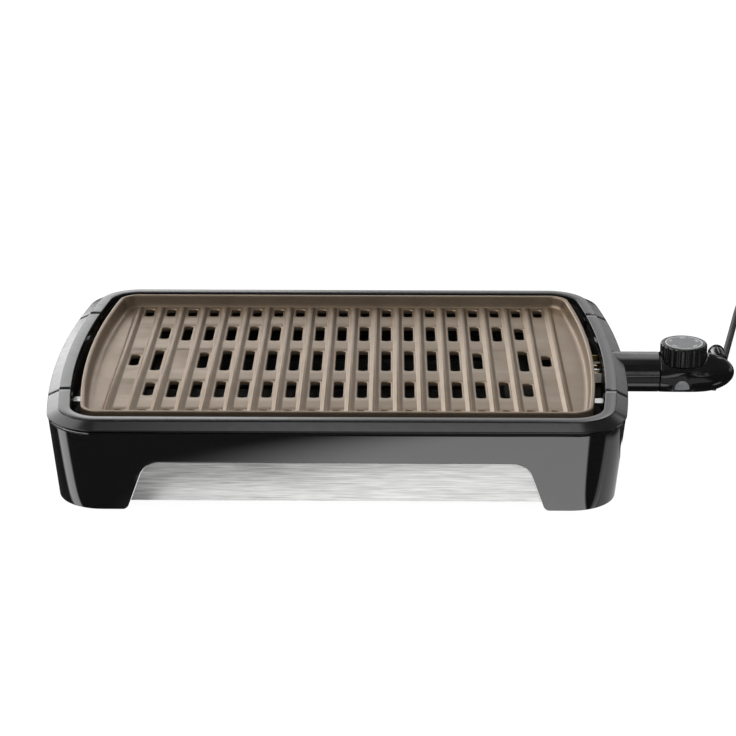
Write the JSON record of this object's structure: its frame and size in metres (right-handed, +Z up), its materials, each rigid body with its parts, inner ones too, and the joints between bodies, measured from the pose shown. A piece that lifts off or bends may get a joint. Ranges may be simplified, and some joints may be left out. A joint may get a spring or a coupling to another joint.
{
  "type": "electric indoor grill",
  "caption": "Tabletop electric grill with a slotted cast plate in a black arched base, a slide-out drip tray and a plug-in heat control with a dial and mains cord.",
  "frame": {"origin": "centre of the footprint of the grill with its heat control, without the cord, at table height", "axes": "+X to the right along the width, towards the heat control; +Y from the front (tray side) to the back; +Z up"},
  "size_m": [0.7426, 0.6195, 0.085],
  "materials": {
    "wall_black": "gloss black",
    "rim_plastic": "satin dark grey-black",
    "handle_plastic": "satin dark grey-black",
    "frame_black": "gloss dark brown-black",
    "bright_steel": "bright zinc plated",
    "rail_steel": "black coated steel",
    "foot_rubber": "matt",
    "nonstick": "brown-grey non-stick coating on cast aluminium",
    "sheath": "dull alloy sheath",
    "ceramic": "unglazed",
    "pin_steel": "nickel plated",
    "yellow_plate": "yellow zinc plated steel",
    "pan_steel": "plain steel sheet",
    "front_steel": "bright, fine brushing left to right",
    "control_black": "satin black phenolic",
    "contact_brass": "spring brass",
    "stack": "switch stack",
    "bimetal": "bimetal strip",
    "lead": "red-brown sleeving",
    "lens": "grey translucent window",
    "lamp": "neon lamp",
    "cord": "satin black cord and plug",
    "tie": "black band",
    "blade_brass": "nickel plated brass",
    "dial_black": "satin black, ribbed side",
    "dial_grey": "grey face, white printing"
  },
  "bodies": {
    "base": {"base_shell": "wall_black", "front_rim": "rim_plastic", "back_rim": "rim_plastic", "left_handle": "handle_plastic", "right_handle": "handle_plastic", "inner_frame": "frame_black", "plate_rests": "bright_steel", "rest_screws": "bright_steel", "seam_clips": "bright_steel", "rim_screws": "bright_steel", "tray_rails": "rail_steel", "rail_screws": "bright_steel", "rubber_feet": "foot_rubber"},
    "plate": {"grill_plate": "nonstick", "heating_element": "sheath", "end_seals": "ceramic", "terminal_pins": "pin_steel", "terminal_bracket": "yellow_plate", "bracket_screws": "bright_steel"},
    "tray": {"drip_pan": "pan_steel", "tray_front": "front_steel"},
    "probe": {"nose_sleeve": "control_black", "head_upper": "control_black", "head_bottom": "control_black", "head_screws": "bright_steel", "contact_block": "ceramic", "contact_forks": "contact_brass", "sensor_rod": "pin_steel", "thermostat_stack": "stack", "bimetal_blade": "bimetal", "supply_leads": "lead", "indicator_lens": "lens", "indicator_lamp": "lamp", "cord_relief": "cord", "cord_run": "cord", "cord_coil": "cord", "cord_tail": "cord", "cord_tie": "tie", "plug_body": "cord", "plug_blades": "blade_brass"},
    "dial": {"dial_knob": "dial_black", "dial_face": "dial_grey", "dial_shaft": "pin_steel", "shaft_clip": "bright_steel"}
  },
  "joints": [
    {"name": "plate_lift", "type": "slide", "parent": "base", "child": "plate", "axis": [0, 0, 1], "range_m": [0, 0.06]},
    {"name": "tray_slide", "type": "slide", "parent": "base", "child": "tray", "axis": [0, -1, 0], "range_m": [0, 0.33]},
    {"name": "probe_slide", "type": "slide", "parent": "base", "child": "probe", "axis": [1, 0, 0], "range_m": [0, 0.06]},
    {"name": "dial_turn", "type": "hinge", "parent": "probe", "child": "dial", "pos_m": [0.25, 0, 0.068], "axis": [0, 0, 1], "range_deg": [0, 270]}
  ]
}
